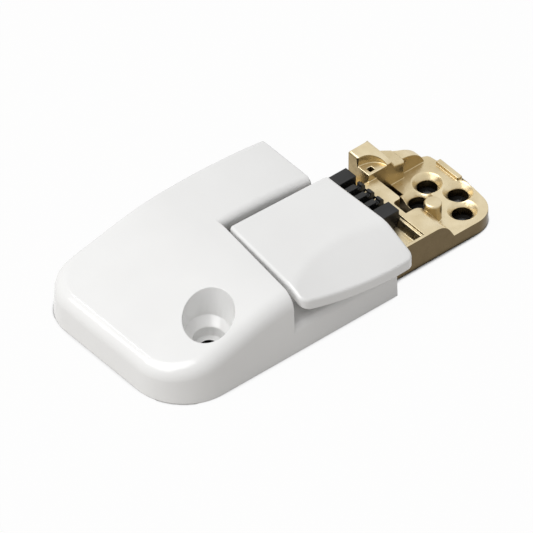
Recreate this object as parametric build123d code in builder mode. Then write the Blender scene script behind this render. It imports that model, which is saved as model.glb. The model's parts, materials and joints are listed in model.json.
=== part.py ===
from build123d import *
import os
from math import asin, atan2, degrees, radians, sin, tan

# Shutter lock, in millimetres.
# X runs along the lock from the closed end of the cover, Y from the finger side to the bolt side, Z up.
# The origin is the middle of the seat, the face that lies on the shutter.

# Overall sizes
cover_length = 72.0
cover_width = 56.0
tongue_reach = 38.0
overall_length = cover_length + tongue_reach
left = -overall_length / 2
near = -cover_width / 2
far = cover_width / 2
cover_right = left + cover_length
tongue_end = cover_right + tongue_reach

# Lever
lever_length = 32.0
lever_overhang = 3.4
lever_far_y = near + 31.6
lever_far_right_x = cover_right + lever_overhang
lever_far_left_x = lever_far_right_x - lever_length
lever_near_left = (lever_far_left_x - 3.2, near - 0.8)
lever_near_right = (lever_far_right_x + 1.0, near - 1.6)
lever_near_bow = 1.3
lever_top_left = 18.2
lever_top_fall = 2.3
lever_thickness = 3.0
lever_skin = 1.4
lever_rim = 1.4
lever_edge_radius = 0.9
lever_far_radius = 1.2
lever_near_radius = 2.6
lever_gap = 1.0

# Thumb slope of the lever: the crease at its top and the line at its foot, from the left, drops from the top
crease_left = (lever_far_left_x - 6.8, near + 0.4)
crease_middle = (lever_far_left_x + 18.4, near + 11.0)
crease_right = (lever_far_right_x + 4.6, near + 7.0)
foot_left_drop = 2.0
foot_right_drop = 6.6
foot_y = near - 4.0
slope_trim = 1.2
thumb_softness = 9.0

# Cover: plan, lean of the walls and top profile
cover_wall = 2.2
near_corner_radius = 15.0
far_corner_radius = 12.5
wall_lean = 0.8
far_lean = 4.0
far_lean_height = 18.5
end_height = 9.2
ramp_run = 25.0
ramp_rise = 7.0
knee_radius = 60.0
crest_radius = 150.0
crest_start_angle = 2.5
roll_radius = 4.5

# Cover: cut-out for the lever
arm_wall_y = near + 33.6
cut_skew = 3.8
cut_far_x = lever_far_left_x - lever_gap
cut_near_x = cut_far_x - cut_skew
ledge_height = 9.0
ledge_depth = 7.0
scoop_wall = 1.6
scoop_height = 13.5
ledge_radius = 3.0
passage_height = 7.2

# Cover: screw well
well_x = left + 21.5
well_y = near + 12.9
well_oval_x = well_x - 1.0
well_oval_y = well_y - 0.7
well_oval_turn = 50.0
well_mouth_radii = (9.0, 7.1)
well_foot_radii = (7.9, 6.0)
well_ledge_top = 8.2
well_ledge_bottom = 6.2
well_pilot_radius = 4.2
well_floor = 3.4
well_hole_radius = 2.5
well_wall = 1.5
well_boss_radius = 7.0
well_block_bottom = 6.6

# Cover: screws from below
boss_radius = 3.0
screw_radius = 1.5
screw_clearance = 0.05
screw_length = 9.0
screw_head_radius = 2.8
screw_head_height = 1.5
screw_play = 0.2
cover_screw_points = [
    (cut_far_x - 6.4, near + 45.0),
    (cut_far_x - 7.4, near + 22.0),
    (cover_right - 3.4, near + 46.0),
]

# Hinge of the lever
hinge_y = near + 28.0
hinge_z = 13.0
pin_radius = 1.0
pin_clearance = 0.05
knuckle_radius = 1.9
post_thickness = 2.6
post_inset = 3.6
post_left_x = lever_far_left_x + post_inset
post_right_x = lever_far_right_x - post_inset
knuckle_length = 3.0
knuckle_gap = 0.3
clip_thickness = 0.6
clip_radius = 1.8
clip_gap = 0.2

# Bolt, driven by a crank under the lever
bolt_x = (post_left_x + post_right_x) / 2
bolt_width = 12.0
bolt_height = 3.5
bolt_reach = 5.5
bolt_rear_y = near + 20.0
bolt_bevel = 3.0
bolt_clearance = 0.3
crank_width = 3.0
crank_length = 8.6
crank_tip_radius = 1.5
crank_neck = 2.0
crank_clearance = 0.6
bolt_travel = 5.0
spring_radius = 1.5
spring_wire = 0.3
spring_turns = 7
spring_wire_sides = 6
spring_rod_radius = 0.8
spring_rod_length = 3.0
spring_wall_y = near + 9.0
spring_wall = 2.0
bolt_plate_thickness = 0.8
plate_window_gap = 0.8
plate_screw_length = 3.0
plate_screw_inset = 2.2
plate_screw_radius = 1.0
plate_screw_head_radius = 1.8
plate_screw_head_height = 1.0

# Guide comb
comb_left = cover_right + 2.8
comb_right = comb_left + 9.9
comb_near = near + 14.4
comb_base = 8.0
comb_top = 11.5
comb_ribs = 3
comb_rib_width = 1.7
comb_rib_pitch = 3.6
comb_first_gap = 1.7
comb_near_block = 4.2
comb_far_block = 4.0
comb_gap = 0.3
comb_step = 1.5
comb_chamfer = 0.7
comb_notch = (2.4, 1.4, 0.9)
comb_edge_radius = 0.4

# Chassis: floor, bolt channel and tongue
floor = 2.5
tongue = 4.0
chassis_left = cut_far_x - 11.4
chassis_near = near + 4.5
chassis_far = near + 50.5
channel_wall = 4.0
channel_near = near + 15.0
channel_far = near + 41.0
plate_gap = 0.2
tongue_far = near + 37.3
tongue_near_point = (tongue_end - 1.6, chassis_near)
tongue_apex = (tongue_end, near + 19.0)
tongue_far_point = (tongue_end - 1.0, near + 31.6)
tongue_shoulder = [
    (tongue_end - 3.2, near + 32.6),
    (tongue_end - 9.4, near + 33.8),
    (tongue_end - 16.0, tongue_far),
]
tongue_near_radius = 7.0
tongue_far_radius = 1.5
shoulder_radius = 4.0

# Chassis: near rail and bridge, which make the deck
deck_height = 9.2
deck_start = cover_right + 3.5
deck_end = comb_right + 3.7
deck_foot = deck_end + 6.1
deck_end_slope = (0.55, -1.0)
deck_inner_y = near + 14.4
bridge_right = comb_right + 5.0
bridge_far = near + 29.6
bridge_step_y = near + 19.5
bridge_step = 2.8
bridge_radius = 0.9
tooth_radius = 0.3
slot_width = 3.8
slot_far_width = 4.9
slot_step_y = near + 24.6
groove_width = 4.4
groove_step = 0.6
groove_slope = 1.6
groove_depth = 2.7
groove_right = comb_right + 0.5
rail_wall = 0.9

# Chassis: fixing holes and stud
hole_radius = 2.6
sink_radius = 4.0
hole_points = [
    (tongue_end - 7.9, near + 24.0),
    (tongue_end - 4.0, near + 16.6),
    (tongue_end - 7.7, near + 10.6),
    (tongue_end - 13.6, near + 20.6),
]
stud_x = tongue_end - 15.2
stud_y = near + 13.3
stud_radius = 2.3
stud_top = 9.4
stud_crown_radius = 0.9

# Chassis: hook block with a tower, a saddle and a pocket, and the far rib
hook_left = comb_right + 2.6
hook_length = 11.9
hook_right = hook_left + hook_length
hook_near = near + 29.2
hook_height = 9.4
tower_right = hook_left + 6.2
tower_near = near + 33.3
tower_height = 14.2
saddle_run = 2.4
saddle_height = 10.0
saddle_radius = 2.0
brow_drop = 2.6
pocket_height = 11.3
pocket_length = 6.0
pocket_width = 4.4
square_x = hook_left + 2.0
square_y = near + 30.9
square_size = 1.5
far_rib_tip = hook_right + 7.6
far_rib_near = near + 30.6
far_rib_height = 9.2
far_rib_end_slope = (0.35, -1.0)
lip_near = near + 19.5
lip_far = near + 28.0
lip_inset = 0.1
lip_width = 1.5
lip_height = 0.9

# Rubber pads on pillars, under the lever
pillar_radius = 2.5
pad_radius = 1.9
pad_height = 2.0
pad_gap = 0.2
pad_inset = 1.8
pad_y = near + 11.8
pad_points = [(post_left_x + pad_inset, pad_y), (post_right_x - pad_inset, pad_y)]

slack = 40.0
crown_height = 20.0
ramp_angle = degrees(atan2(ramp_rise, ramp_run))
wall_taper = degrees(atan2(wall_lean, crown_height))


def below_skin(drop):
    """Space under the cover's top profile, lowered by drop."""
    with BuildPart() as space:
        with BuildSketch(Plane.XZ):
            with BuildLine():
                start = (left - slack, end_height - drop - slack * ramp_rise / ramp_run)
                ramp = Line(start, (left + ramp_run, end_height - drop + ramp_rise))
                knee = JernArc(ramp @ 1, ramp % 1, knee_radius, crest_start_angle - ramp_angle)
                run = (cover_right - (knee @ 1).X) / crest_radius
                end_angle = degrees(asin(sin(radians(crest_start_angle)) - run))
                crest = JernArc(knee @ 1, knee % 1, crest_radius, end_angle - crest_start_angle)
                Polyline(crest @ 1, ((crest @ 1).X, -slack), (left - slack, -slack), start)
            make_face()
        extrude(amount=cover_width, both=True)
    return space.part


def plan_outline(inset):
    """Plan outline of the cover at the seat, moved in by inset and carried on past its open end."""
    x0, x1 = left + inset, cover_right + slack
    y0, y1 = near + inset, far - inset
    with BuildSketch() as outline:
        with Locations(((x0 + x1) / 2, (y0 + y1) / 2)):
            Rectangle(x1 - x0, y1 - y0)
        fillet(outline.vertices().group_by(Axis.X)[0].sort_by(Axis.Y)[0], near_corner_radius - inset)
        fillet(outline.vertices().group_by(Axis.X)[0].sort_by(Axis.Y)[-1], far_corner_radius - inset)
    return outline.sketch


def envelope(wall):
    """Outer form of the cover, or the form of its hollow for a wall above zero."""
    with BuildPart() as form:
        with BuildSketch():
            add(plan_outline(wall))
        extrude(amount=crown_height, taper=wall_taper)
        add(below_skin(wall), mode=Mode.INTERSECT)
        skin = form.faces().filter_by(lambda f: f.normal_at().Z > 0.5)
        rim = skin.edges().filter_by(lambda e: abs((e % 0.5).Y) < 0.99 or e.center().X < left + end_height)
        fillet(rim, roll_radius - wall)
        with BuildSketch(Plane.YZ):
            with BuildLine():
                Polyline(
                    (far - wall, 0),
                    (far - wall + far_lean, 0),
                    (far - wall + far_lean, far_lean_height * 2),
                    (far - wall - far_lean * 2, far_lean_height * 2),
                    close=True,
                )
            make_face()
        extrude(amount=overall_length, both=True, mode=Mode.SUBTRACT)
    return form.part


def opening_outline(margin):
    """Plan of the lever's cut-out, grown by margin on the cover's side."""
    lean = (cut_far_x - cut_near_x) / (arm_wall_y - near)
    far_y = arm_wall_y + margin
    near_y = near - slack
    with BuildSketch() as outline:
        with BuildLine():
            Polyline(
                (cut_far_x - margin + lean * margin, far_y),
                (cut_far_x - margin - lean * (arm_wall_y - near_y), near_y),
                (cover_right + slack, near_y),
                (cover_right + slack, far_y),
                close=True,
            )
        make_face()
    return outline.sketch


# Hollow of the cover, with the walls of the cut-out and the bosses left standing
with BuildPart() as hollow:
    add(envelope(cover_wall))
    with BuildSketch(Plane.XY.offset(passage_height)):
        add(opening_outline(cover_wall))
    extrude(amount=slack, mode=Mode.SUBTRACT)
    with Locations((well_x, well_y, 0)):
        Cylinder(well_boss_radius, slack * 2, mode=Mode.SUBTRACT)
    with BuildSketch(Plane.XY.offset(well_block_bottom)):
        with Locations(Location((well_oval_x, well_oval_y, 0), (0, 0, well_oval_turn))):
            Ellipse(*[radius + well_wall for radius in well_mouth_radii])
    extrude(amount=slack, mode=Mode.SUBTRACT)
    with Locations(*[(x, y, floor) for x, y in cover_screw_points]):
        Cylinder(boss_radius, slack, align=(Align.CENTER, Align.CENTER, Align.MIN), mode=Mode.SUBTRACT)

# Oval of the well: a cone from the screw's bore to a ledge, then a steep wall up to the mouth
well_oval_place = Location((well_oval_x, well_oval_y, 0), (0, 0, well_oval_turn))
with BuildPart() as well_oval:
    with BuildSketch(Plane.XY.offset(well_ledge_bottom)):
        with Locations(Location((well_x, well_y, 0), (0, 0, well_oval_turn))):
            Circle(well_pilot_radius)
    with BuildSketch(Plane.XY.offset(well_ledge_top)):
        with Locations(well_oval_place):
            Ellipse(*well_foot_radii)
    loft()
    with BuildSketch(Plane.XY.offset(well_ledge_top)):
        with Locations(well_oval_place):
            Ellipse(*well_foot_radii)
    with BuildSketch(Plane.XY.offset(crown_height)):
        with Locations(well_oval_place):
            Ellipse(*well_mouth_radii)
    loft()

# Cover
with BuildPart() as cover:
    add(envelope(0))
    add(hollow.part, mode=Mode.SUBTRACT)
    with BuildSketch(Plane.XY.offset(ledge_height)):
        add(opening_outline(0))
    extrude(amount=slack, mode=Mode.SUBTRACT)
    with BuildSketch(Plane.XY):
        add(opening_outline(0))
        with Locations((0, near + ledge_depth)):
            Rectangle(overall_length * 2, slack * 2, align=(Align.CENTER, Align.MAX), mode=Mode.SUBTRACT)
    extrude(amount=slack, mode=Mode.SUBTRACT)
    ledge_edge = cover.edges().filter_by(
        lambda e: abs(e.center().Z - ledge_height) < 0.01 and e.center().Y < near + wall_lean
    )
    fillet(ledge_edge, ledge_radius)
    # Back of the finger scoop
    with BuildSketch(Plane.XY.offset(passage_height)):
        with Locations((cut_near_x, near + ledge_depth)):
            Rectangle(cover_right - cut_near_x, scoop_wall, align=(Align.MIN, Align.MIN))
    extrude(amount=scoop_height - passage_height)
    with BuildSketch(Plane.XZ.offset(-well_y)):
        with BuildLine():
            Polyline(
                (well_x, -1),
                (well_x + well_hole_radius, -1),
                (well_x + well_hole_radius, well_floor),
                (well_x + well_pilot_radius, well_floor),
                (well_x + well_pilot_radius, well_ledge_bottom),
                (well_x, well_ledge_bottom),
                close=True,
            )
        make_face()
    revolve(axis=Axis((well_x, well_y, 0), (0, 0, 1)), mode=Mode.SUBTRACT)
    add(well_oval.part, mode=Mode.SUBTRACT)
    with Locations(*[(x, y, floor) for x, y in cover_screw_points]):
        Cylinder(
            screw_radius + screw_clearance,
            screw_length,
            align=(Align.CENTER, Align.CENTER, Align.MIN),
            mode=Mode.SUBTRACT,
        )
    with Locations((bolt_x, far, floor + bolt_height / 2)):
        Box(bolt_width + 2 * bolt_clearance, cover_wall * 4, bolt_height + 2 * bolt_clearance,
            mode=Mode.SUBTRACT)
cover.part.label = "cover"


def lever_top_at(x):
    """Height of the lever's flat top at x."""
    return lever_top_left - (x - lever_far_left_x) * tan(radians(lever_top_fall))


def lever_space(drop):
    """Space under the lever's top, lowered by drop: a falling plane with a curved thumb slope."""
    x0, x1 = crease_left[0] + slope_trim, crease_right[0] - slope_trim
    points = [(x, y, lever_top_at(x) - drop) for x, y in (crease_left, crease_middle, crease_right)]
    crease = Edge.make_three_point_arc(*points)
    foot = Edge.make_line(
        (crease_left[0], foot_y, lever_top_at(crease_left[0]) - foot_left_drop - drop),
        (crease_right[0], foot_y, lever_top_at(crease_right[0]) - foot_right_drop - drop),
    )
    slope = Face.make_surface_from_curves(crease, foot)
    with BuildPart() as space:
        with BuildSketch(Plane.XZ):
            with BuildLine():
                Polyline(
                    (x0, lever_top_at(x0) - drop),
                    (x1, lever_top_at(x1) - drop),
                    (x1, -slack),
                    (x0, -slack),
                    close=True,
                )
            make_face()
        extrude(amount=-foot_y - slope_trim, both=True)
        extrude(slope, amount=slack, dir=(0, 0, 1), mode=Mode.SUBTRACT)
        ridge = space.edges().filter_by(GeomType.CIRCLE)
        fillet(ridge, thumb_softness)
    return space.part


def lever_outline(inset):
    """Plan outline of the lever with a bowed finger edge."""
    mid = ((lever_near_left[0] + lever_near_right[0]) / 2,
           (lever_near_left[1] + lever_near_right[1]) / 2 - lever_near_bow)
    with BuildSketch() as outline:
        with BuildLine():
            bow = ThreePointArc(lever_near_left, mid, lever_near_right)
            Polyline(bow @ 1, (lever_far_right_x, lever_far_y), (lever_far_left_x, lever_far_y), bow @ 0)
        make_face()
        if inset > 0:
            offset(amount=-inset, kind=Kind.INTERSECTION, mode=Mode.REPLACE)
        else:
            fillet(outline.vertices().sort_by(Axis.Y)[-2:], lever_far_radius)
            fillet(outline.vertices().sort_by(Axis.Y)[:2], lever_near_radius)
    return outline.sketch


knuckle_left_x = post_left_x + post_thickness / 2 + knuckle_gap
knuckle_right_x = post_right_x - post_thickness / 2 - knuckle_gap - knuckle_length

# Hollow under the lever's skin
with BuildPart() as lever_tray:
    with BuildSketch():
        add(lever_outline(lever_rim))
    extrude(amount=slack)
    add(lever_space(lever_skin), mode=Mode.INTERSECT)

# Knuckles under the lever's skin
with BuildPart() as lever_lugs:
    for x in (knuckle_left_x, knuckle_right_x):
        with BuildSketch(Plane.YZ.offset(x)):
            with Locations((hinge_y, hinge_z)):
                Circle(knuckle_radius)
                Rectangle(2 * knuckle_radius, slack, align=(Align.CENTER, Align.MIN))
        extrude(amount=knuckle_length)
    add(lever_space(lever_skin / 2), mode=Mode.INTERSECT)

# Lever: a tray with knuckles on the hinge pin
with BuildPart() as lever:
    with BuildSketch():
        add(lever_outline(0))
    extrude(amount=slack)
    add(lever_space(0), mode=Mode.INTERSECT)
    walls = lever.faces().filter_by(lambda f: abs(f.normal_at().Z) < 0.01)
    fillet([e for e in walls.edges() if e.center().Z > hinge_z / 2 and abs((e % 0.5).Z) < 0.9],
           lever_edge_radius)
    add(lever_space(lever_thickness), mode=Mode.SUBTRACT)
    add(lever_tray.part, mode=Mode.SUBTRACT)
    add(lever_lugs.part)
    with Locations(Location((bolt_x, hinge_y, hinge_z), (0, 90, 0))):
        Cylinder(pin_radius + pin_clearance, cover_length, mode=Mode.SUBTRACT)
lever.part.label = "lever"

# Crank: a steel arm under the lever that reaches into the bolt
with BuildPart() as lever_crank:
    with BuildSketch(Plane.YZ.offset(bolt_x - crank_width / 2)):
        with Locations((hinge_y, hinge_z)):
            Circle(knuckle_radius)
            Rectangle(2 * knuckle_radius, slack, align=(Align.CENTER, Align.MIN))
            Rectangle(crank_neck, crank_length, align=(Align.CENTER, Align.MAX))
        with Locations((hinge_y, hinge_z - crank_length)):
            Circle(crank_tip_radius)
    extrude(amount=crank_width)
    add(lever_space(lever_skin), mode=Mode.INTERSECT)
    with Locations(Location((bolt_x, hinge_y, hinge_z), (0, 90, 0))):
        Cylinder(pin_radius + pin_clearance, cover_length, mode=Mode.SUBTRACT)
lever_crank.part.label = "lever_crank"


bolt_top = floor + bolt_height
bolt_axis_z = floor + bolt_height / 2
channel_half = bolt_width / 2 + bolt_clearance
plate_z = bolt_top + plate_gap
plate_screw_x = channel_half + channel_wall / 2
plate_screw_points = [
    (bolt_x + side * plate_screw_x, y)
    for side in (-1, 1)
    for y in (channel_near + plate_screw_inset, channel_far - plate_screw_inset)
]
pillar_tops = [lever_top_at(x) - lever_skin - pad_gap - pad_height for x, y in pad_points]


def slab(x0, x1, y0, y1, mode=Mode.ADD):
    """Rectangle between two corners in the open sketch."""
    with Locations(((x0 + x1) / 2, (y0 + y1) / 2)):
        Rectangle(x1 - x0, y1 - y0, mode=mode)


first_rib = comb_near + comb_near_block + comb_first_gap
rib_starts = [first_rib + i * comb_rib_pitch for i in range(comb_ribs)]
far_block_start = first_rib + comb_ribs * comb_rib_pitch
comb_far = far_block_start + comb_far_block
gap_starts = [comb_near + comb_near_block, *[start + comb_rib_width for start in rib_starts]]
gap_ends = [*rib_starts, far_block_start]

# Plan of the tongue, with a bowed end and a shoulder on the far side
with BuildSketch() as tongue_plan:
    with BuildLine():
        bow = ThreePointArc(tongue_near_point, tongue_apex, tongue_far_point)
        Polyline(
            bow @ 1,
            *tongue_shoulder,
            (cover_right, tongue_far),
            (cover_right, chassis_near),
            bow @ 0,
        )
    make_face()
    for point, radius in (
        (tongue_near_point, tongue_near_radius),
        (tongue_far_point, tongue_far_radius),
        *[(corner, shoulder_radius) for corner in tongue_shoulder],
    ):
        fillet(tongue_plan.vertices().sort_by_distance((*point, 0))[0], radius)

# Bridge of the deck: teeth between the comb's ribs on one side, a step on the other
with BuildPart() as bridge:
    with BuildSketch(Plane.XY.offset(floor)) as bridge_plan:
        slab(comb_right + comb_gap, bridge_right, bridge_step_y, bridge_far)
        slab(comb_right + comb_gap, bridge_right - bridge_step, deck_inner_y, bridge_step_y)
        for start, end in zip(gap_starts[:-1], gap_ends):
            slab(comb_right - comb_step + comb_gap, comb_right + comb_gap, start + comb_gap, end - comb_gap)
        teeth = bridge_plan.vertices().filter_by(lambda v: v.X < comb_right - comb_gap)
        fillet(teeth, tooth_radius)
        steps = bridge_plan.vertices().filter_by(
            lambda v: v.X > bridge_right - bridge_step - 0.1 and deck_inner_y + 1 < v.Y < bridge_far - 1
        )
        fillet(steps, bridge_radius)
    extrude(amount=deck_height - floor)

# Hook block: a tower with a saddle, a brow that falls to the near side and a round-ended pocket
with BuildPart() as hook:
    with BuildSketch(Plane.XZ.offset(-hook_near)) as hook_profile:
        with BuildLine():
            Polyline(
                (hook_left, floor),
                (hook_left, tower_height),
                (tower_right, tower_height),
                (tower_right + saddle_run, saddle_height),
                (hook_right, hook_height),
                (hook_right, floor),
                close=True,
            )
        make_face()
        saddle_foot = (tower_right + saddle_run, hook_near, saddle_height)
        fillet(hook_profile.vertices().sort_by_distance(saddle_foot)[0], saddle_radius)
    extrude(amount=-(tongue_far - hook_near))
    with BuildSketch(Plane.YZ.offset(hook_left - 1)):
        with BuildLine():
            Polyline(
                (hook_near - 1, tower_height + 1),
                (hook_near - 1, tower_height - brow_drop),
                (hook_near, tower_height - brow_drop),
                (tower_near, tower_height),
                (tower_near, tower_height + 1),
                close=True,
            )
        make_face()
    extrude(amount=hook_length + 2, mode=Mode.SUBTRACT)
    with BuildSketch(Plane.XY.offset(pocket_height)):
        with Locations((hook_left, hook_near)):
            Ellipse(pocket_length, pocket_width)
    extrude(amount=tower_height, mode=Mode.SUBTRACT)
    with BuildSketch():
        add(tongue_plan.sketch)
    extrude(amount=tower_height, mode=Mode.INTERSECT)

# Rib that falls along the far side of the tongue
with BuildPart() as far_rib:
    with BuildSketch(Plane.XZ.offset(-far_rib_near)):
        with BuildLine():
            crest = Spline((hook_right - 1, far_rib_height), (far_rib_tip, tongue),
                           tangents=((1, 0), far_rib_end_slope))
            Polyline(crest @ 1, (far_rib_tip, floor), (hook_right - 1, floor), crest @ 0)
        make_face()
    extrude(amount=-(tongue_far - far_rib_near))
    with BuildSketch():
        add(tongue_plan.sketch)
    extrude(amount=tower_height, mode=Mode.INTERSECT)

# Chassis: one casting with the bolt's channel, the hinge posts and the tongue
with BuildPart() as chassis:
    with BuildSketch():
        slab(chassis_left, cover_right, chassis_near, chassis_far)
    extrude(amount=floor)
    with BuildSketch():
        add(tongue_plan.sketch)
    extrude(amount=tongue)
    # Near rail with a falling end
    with BuildSketch(Plane.XZ.offset(-chassis_near)):
        with BuildLine():
            drop = Spline((deck_end, deck_height), (deck_foot, tongue), tangents=((1, 0), deck_end_slope))
            Polyline(drop @ 1, (deck_foot, floor), (deck_start, floor), (deck_start, deck_height), drop @ 0)
        make_face()
    extrude(amount=-(deck_inner_y - chassis_near))
    add(bridge.part)
    add(hook.part)
    add(far_rib.part)
    # Lip on the bowed end
    with BuildSketch(Plane.XY.offset(tongue)):
        slab(tongue_end - lip_inset - lip_width, tongue_end - lip_inset, lip_near, lip_far)
    extrude(amount=lip_height)
    # Stud
    with Locations((stud_x, stud_y, tongue)):
        Cylinder(stud_radius, stud_top - tongue, align=(Align.CENTER, Align.CENTER, Align.MIN))
    # Walls of the bolt channel and the spring's stop
    with BuildSketch(Plane.XY.offset(floor)):
        for side in (-1, 1):
            inner = bolt_x + side * channel_half
            slab(min(inner, inner + side * channel_wall), max(inner, inner + side * channel_wall),
                 channel_near, channel_far)
        slab(bolt_x - channel_half, bolt_x + channel_half, spring_wall_y, spring_wall_y + spring_wall)
    extrude(amount=plate_z - floor)
    # Pillars of the pads
    for (x, y), top in zip(pad_points, pillar_tops):
        with Locations((x, y, floor)):
            Cylinder(pillar_radius, top - floor, align=(Align.CENTER, Align.CENTER, Align.MIN))
    # Hinge posts
    for x in (post_left_x, post_right_x):
        with BuildSketch(Plane.YZ.offset(x - post_thickness / 2)):
            with Locations((hinge_y, hinge_z)):
                Circle(knuckle_radius)
                Rectangle(2 * knuckle_radius, hinge_z - floor, align=(Align.CENTER, Align.MAX))
        extrude(amount=post_thickness)
    with Locations(Location((bolt_x, hinge_y, hinge_z), (0, 90, 0))):
        Cylinder(pin_radius + screw_clearance, cover_length, mode=Mode.SUBTRACT)
    # Square hole of the shelf
    with Locations((square_x, square_y, 0)):
        Box(square_size, square_size, slack * 2, mode=Mode.SUBTRACT)
    # Slot between the bridge and the tongue
    with BuildSketch():
        slab(bridge_right - bridge_step, bridge_right + slot_width, deck_inner_y, slot_step_y)
        slab(bridge_right - bridge_step, bridge_right + slot_far_width, slot_step_y, hook_near)
        add(bridge_plan.sketch.moved(Location((0, 0, -floor))), mode=Mode.SUBTRACT)
        with Locations((stud_x, stud_y)):
            Circle(stud_radius, mode=Mode.SUBTRACT)
    extrude(amount=deck_height, mode=Mode.SUBTRACT)
    # Fixing holes of the tongue
    with Locations(*[(x, y, tongue) for x, y in hole_points]):
        CounterSinkHole(hole_radius, sink_radius, depth=tongue * 2)
    # Stepped groove in the near rail
    with BuildSketch(Plane.XZ.offset(-chassis_near - rail_wall)):
        with BuildLine():
            Polyline(
                (groove_right, deck_height + 1),
                (groove_right, deck_height - groove_step),
                (groove_right - groove_step, deck_height - groove_step),
                (groove_right - groove_slope, deck_height - groove_depth),
                (groove_right - groove_width, deck_height - groove_depth),
                (groove_right - groove_width, floor),
                (deck_start - 1, floor),
                (deck_start - 1, deck_height + 1),
                close=True,
            )
        make_face()
    extrude(amount=-(deck_inner_y - chassis_near), mode=Mode.SUBTRACT)
    # Holes of the screws
    with Locations(*[(x, y, plate_z) for x, y in plate_screw_points]):
        Cylinder(plate_screw_radius + screw_clearance, plate_screw_length * 2, mode=Mode.SUBTRACT)
    with Locations(*[(x, y, 0) for x, y in cover_screw_points]):
        Cylinder(screw_radius + screw_play, floor * 4, mode=Mode.SUBTRACT)
        Cylinder(screw_head_radius + screw_play, screw_head_height * 2, mode=Mode.SUBTRACT)
    stud_edges = chassis.edges().filter_by(GeomType.CIRCLE).filter_by(
        lambda e: abs(e.radius - stud_radius) < 0.01 and abs(e.arc_center.X - stud_x) < 0.01
    )
    fillet(stud_edges.sort_by(Axis.Z)[-1], stud_crown_radius)
chassis.part.label = "chassis"

# Comb: notched ribs along X on a block, with a plain block at the finger side
notch_end, notch_start, notch_depth = comb_notch
with BuildPart() as guide_comb:
    with BuildSketch(Plane.XY.offset(tongue)):
        slab(comb_left, comb_right - comb_step, comb_near, comb_far)
    extrude(amount=comb_base - tongue)
    for start in rib_starts:
        with BuildSketch(Plane.XZ.offset(-start)):
            with BuildLine():
                Polyline(
                    (comb_left, tongue),
                    (comb_right, tongue),
                    (comb_right, comb_top - comb_chamfer),
                    (comb_right - comb_chamfer, comb_top),
                    (comb_right - notch_start, comb_top),
                    (comb_right - notch_start, comb_top - notch_depth),
                    (comb_right - notch_end, comb_top - notch_depth),
                    (comb_right - notch_end, comb_top),
                    (comb_left, comb_top),
                    close=True,
                )
            make_face()
        extrude(amount=-comb_rib_width)
    with BuildSketch(Plane.XY.offset(tongue)):
        slab(comb_left, comb_right, comb_near, comb_near + comb_near_block)
        slab(comb_left, comb_right, far_block_start, comb_far)
    extrude(amount=comb_top - tongue)
    block_edges = guide_comb.edges().filter_by(
        lambda e: e.center().Z > comb_top - 0.01
        and not gap_starts[0] + 0.01 < e.center().Y < far_block_start - 0.01
    )
    fillet(block_edges, comb_edge_radius)
guide_comb.part.label = "guide_comb"

# Hinge pin and its clips
pin_left = post_left_x - post_thickness / 2 - clip_gap - clip_thickness - clip_gap
pin_right = post_right_x + post_thickness / 2 + clip_gap + clip_thickness + clip_gap
with BuildPart() as lever_pin:
    with BuildSketch(Plane.YZ.offset(pin_left)):
        with Locations((hinge_y, hinge_z)):
            Circle(pin_radius)
    extrude(amount=pin_right - pin_left)
lever_pin.part.label = "lever_pin"

with BuildPart() as pin_clips:
    for x in (pin_left + clip_gap, pin_right - clip_gap - clip_thickness):
        with BuildSketch(Plane.YZ.offset(x)):
            with Locations((hinge_y, hinge_z)):
                Circle(clip_radius)
                Circle(pin_radius + screw_clearance, mode=Mode.SUBTRACT)
                Rectangle(pin_radius, clip_radius * 2, align=(Align.CENTER, Align.MAX), mode=Mode.SUBTRACT)
        extrude(amount=clip_thickness)
pin_clips.part.label = "pin_clips"

# Bolt with a bevelled nose, a window for the crank and a rod for its spring
with BuildPart() as bolt:
    with BuildSketch(Plane.YZ.offset(bolt_x - bolt_width / 2)):
        with BuildLine():
            nose = far + bolt_reach
            Polyline(
                (bolt_rear_y, floor),
                (nose - bolt_bevel, floor),
                (nose, floor + bolt_height / 2),
                (nose, bolt_top),
                (bolt_rear_y, bolt_top),
                close=True,
            )
        make_face()
    extrude(amount=bolt_width)
    with Locations((bolt_x, hinge_y, bolt_axis_z)):
        Box(
            crank_width + 2 * crank_clearance,
            2 * (crank_tip_radius + crank_clearance),
            bolt_height * 2,
            mode=Mode.SUBTRACT,
        )
    with BuildSketch(Plane.XZ.offset(-bolt_rear_y)):
        with Locations((bolt_x, bolt_axis_z)):
            Circle(spring_rod_radius)
    extrude(amount=spring_rod_length)
bolt.part.label = "bolt"

# Spring between the chassis stop and the bolt
spring_start = spring_wall_y + spring_wall + spring_wire
spring_length = bolt_rear_y - spring_wire - spring_start
with BuildPart() as bolt_spring:
    with BuildLine():
        coil = Helix(
            pitch=spring_length / spring_turns,
            height=spring_length,
            radius=spring_radius,
            center=(bolt_x, spring_start, bolt_axis_z),
            direction=(0, 1, 0),
        )
    with BuildSketch(Plane(origin=coil @ 0, z_dir=coil % 0)):
        RegularPolygon(spring_wire / 2, spring_wire_sides)
    sweep(path=coil)
bolt_spring.part.label = "bolt_spring"

# Plate over the bolt
with BuildPart() as bolt_plate:
    with BuildSketch(Plane.XY.offset(plate_z)):
        slab(bolt_x - channel_half - channel_wall, bolt_x + channel_half + channel_wall,
             channel_near, channel_far)
        slab(bolt_x - crank_width / 2 - plate_window_gap, bolt_x + crank_width / 2 + plate_window_gap,
             hinge_y - bolt_travel - crank_tip_radius - plate_window_gap * 2,
             hinge_y + crank_tip_radius + plate_window_gap, mode=Mode.SUBTRACT)
        with Locations(*plate_screw_points):
            Circle(plate_screw_radius + screw_clearance, mode=Mode.SUBTRACT)
    extrude(amount=bolt_plate_thickness)
bolt_plate.part.label = "bolt_plate"

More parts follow.
